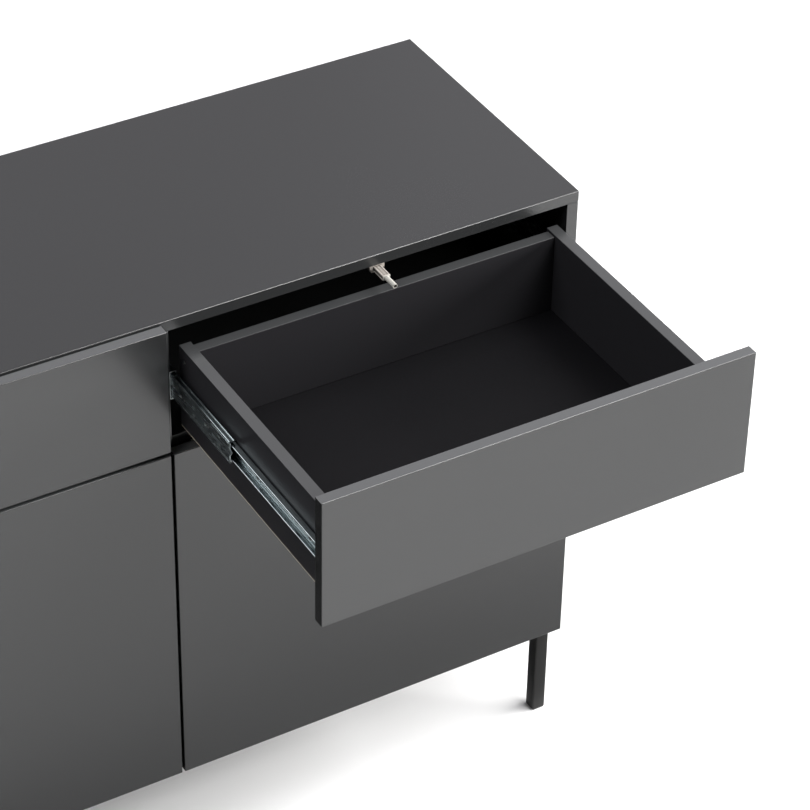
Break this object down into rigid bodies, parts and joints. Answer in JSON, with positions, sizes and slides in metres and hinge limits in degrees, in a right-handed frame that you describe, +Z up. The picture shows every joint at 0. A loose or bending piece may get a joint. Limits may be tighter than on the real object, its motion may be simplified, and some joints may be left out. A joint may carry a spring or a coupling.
{
  "type": "sideboard",
  "caption": "Handleless graphite sideboard on four square steel legs: two drawers on telescopic slides over two hinged doors, with push latches.",
  "frame": {"origin": "middle of the box around the object as stored, with the right drawer drawn out, at floor level", "axes": "+X along the front to the right as seen from the front, +Y from the front to the back, +Z up"},
  "size_m": [1.19, 0.8224, 0.894],
  "materials": {
    "graphite_lacquer": "satin graphite lacquer on board",
    "box_lacquer": "satin graphite foil on board",
    "floor_sheet": "fine-grained dark hardboard",
    "back_sheet": "matt dark hardboard",
    "zinc_steel": "bright zinc plated",
    "nickelled_steel": "nickel plated",
    "leg_black": "fine black powder coat",
    "latch_grey": "moulded",
    "latch_nose": "moulded"
  },
  "bodies": {
    "carcass": {"back_panel": "back_sheet", "bottom_panel": "graphite_lacquer", "centre_partition": "graphite_lacquer", "front_left_leg": "leg_black", "front_right_leg": "leg_black", "left_adjustable_shelf": "graphite_lacquer", "left_door_latch_housing": "latch_grey", "left_door_lower_hinge_arm": "nickelled_steel", "left_door_upper_hinge_arm": "nickelled_steel", "left_drawer_latch_housing": "latch_grey", "left_drawer_left_slide_cabinet_member": "zinc_steel", "left_drawer_right_slide_cabinet_member": "zinc_steel", "left_fixed_shelf": "graphite_lacquer", "left_side_panel": "graphite_lacquer", "rear_left_leg": "leg_black", "rear_right_leg": "leg_black", "right_adjustable_shelf": "graphite_lacquer", "right_door_latch_housing": "latch_grey", "right_door_lower_hinge_arm": "nickelled_steel", "right_door_upper_hinge_arm": "nickelled_steel", "right_drawer_latch_housing": "latch_grey", "right_drawer_left_slide_cabinet_member": "zinc_steel", "right_drawer_right_slide_cabinet_member": "zinc_steel", "right_fixed_shelf": "graphite_lacquer", "right_side_panel": "graphite_lacquer", "top_panel": "graphite_lacquer"},
    "left_drawer": {"left_drawer_front": "graphite_lacquer", "left_drawer_left_side": "box_lacquer", "left_drawer_right_side": "box_lacquer", "left_drawer_back": "box_lacquer", "left_drawer_floor": "floor_sheet", "left_drawer_left_slide_drawer_member": "zinc_steel", "left_drawer_right_slide_drawer_member": "zinc_steel"},
    "left_runners": {"left_drawer_left_slide_middle_member": "zinc_steel", "left_drawer_right_slide_middle_member": "zinc_steel"},
    "left_door": {"left_door": "graphite_lacquer", "left_door_upper_hinge_cup": "nickelled_steel", "left_door_lower_hinge_cup": "nickelled_steel"},
    "left_hinge_links": {"left_door_upper_hinge_link": "nickelled_steel", "left_door_lower_hinge_link": "nickelled_steel"},
    "left_drawer_plunger": {"left_drawer_latch_plunger": "latch_nose"},
    "left_door_plunger": {"left_door_latch_plunger": "latch_nose"},
    "right_drawer": {"right_drawer_front": "graphite_lacquer", "right_drawer_left_side": "box_lacquer", "right_drawer_right_side": "box_lacquer", "right_drawer_back": "box_lacquer", "right_drawer_floor": "floor_sheet", "right_drawer_left_slide_drawer_member": "zinc_steel", "right_drawer_right_slide_drawer_member": "zinc_steel"},
    "right_runners": {"right_drawer_left_slide_middle_member": "zinc_steel", "right_drawer_right_slide_middle_member": "zinc_steel"},
    "right_door": {"right_door": "graphite_lacquer", "right_door_upper_hinge_cup": "nickelled_steel", "right_door_lower_hinge_cup": "nickelled_steel"},
    "right_hinge_links": {"right_door_upper_hinge_link": "nickelled_steel", "right_door_lower_hinge_link": "nickelled_steel"},
    "right_drawer_plunger": {"right_drawer_latch_plunger": "latch_nose"},
    "right_door_plunger": {"right_door_latch_plunger": "latch_nose"}
  },
  "joints": [
    {"name": "right_drawer_slide", "type": "slide", "parent": "carcass", "child": "right_drawer", "axis": [0, -1, 0], "range_m": [-0.375, 0]},
    {"name": "right_runners_slide", "type": "slide", "parent": "carcass", "child": "right_runners", "axis": [0, -1, 0], "range_m": [-0.152, 0]},
    {"name": "right_drawer_latch_slide", "type": "slide", "parent": "carcass", "child": "right_drawer_plunger", "axis": [0, -1, 0], "range_m": [-0.0428, 0]},
    {"name": "right_door_swing", "type": "hinge", "parent": "carcass", "child": "right_door", "pos_m": [0.591, -0.02925, 0.434], "axis": [0, 0, 1], "range_deg": [0, 105]},
    {"name": "right_hinge_link_swing", "type": "hinge", "parent": "carcass", "child": "right_hinge_links", "pos_m": [0.571, -0.01625, 0.434], "axis": [0, 0, 1], "range_deg": [0, 78.75]},
    {"name": "right_door_latch_slide", "type": "slide", "parent": "carcass", "child": "right_door_plunger", "axis": [0, -1, 0], "range_m": [0, 0.0428]},
    {"name": "left_drawer_slide", "type": "slide", "parent": "carcass", "child": "left_drawer", "axis": [0, -1, 0], "range_m": [0, 0.375]},
    {"name": "left_runners_slide", "type": "slide", "parent": "carcass", "child": "left_runners", "axis": [0, -1, 0], "range_m": [0, 0.152]},
    {"name": "left_drawer_latch_slide", "type": "slide", "parent": "carcass", "child": "left_drawer_plunger", "axis": [0, -1, 0], "range_m": [0, 0.0428]},
    {"name": "left_door_swing", "type": "hinge", "parent": "carcass", "child": "left_door", "pos_m": [-0.591, -0.02925, 0.434], "axis": [0, 0, -1], "range_deg": [0, 105]},
    {"name": "left_hinge_link_swing", "type": "hinge", "parent": "carcass", "child": "left_hinge_links", "pos_m": [-0.571, -0.01625, 0.434], "axis": [0, 0, -1], "range_deg": [0, 78.75]},
    {"name": "left_door_latch_slide", "type": "slide", "parent": "carcass", "child": "left_door_plunger", "axis": [0, -1, 0], "range_m": [0, 0.0428]}
  ],
  "couplings": [
    {"joint": "right_runners_slide", "follows": "right_drawer_slide", "ratio": 0.4053},
    {"joint": "right_drawer_latch_slide", "follows": "right_drawer_slide", "ratio": 0.1141},
    {"joint": "right_hinge_link_swing", "follows": "right_door_swing", "ratio": 0.75},
    {"joint": "right_door_latch_slide", "follows": "right_door_swing", "m_per_rad": 0.02335},
    {"joint": "left_runners_slide", "follows": "left_drawer_slide", "ratio": 0.4053},
    {"joint": "left_drawer_latch_slide", "follows": "left_drawer_slide", "ratio": 0.1141},
    {"joint": "left_hinge_link_swing", "follows": "left_door_swing", "ratio": 0.75},
    {"joint": "left_door_latch_slide", "follows": "left_door_swing", "m_per_rad": 0.02335}
  ]
}
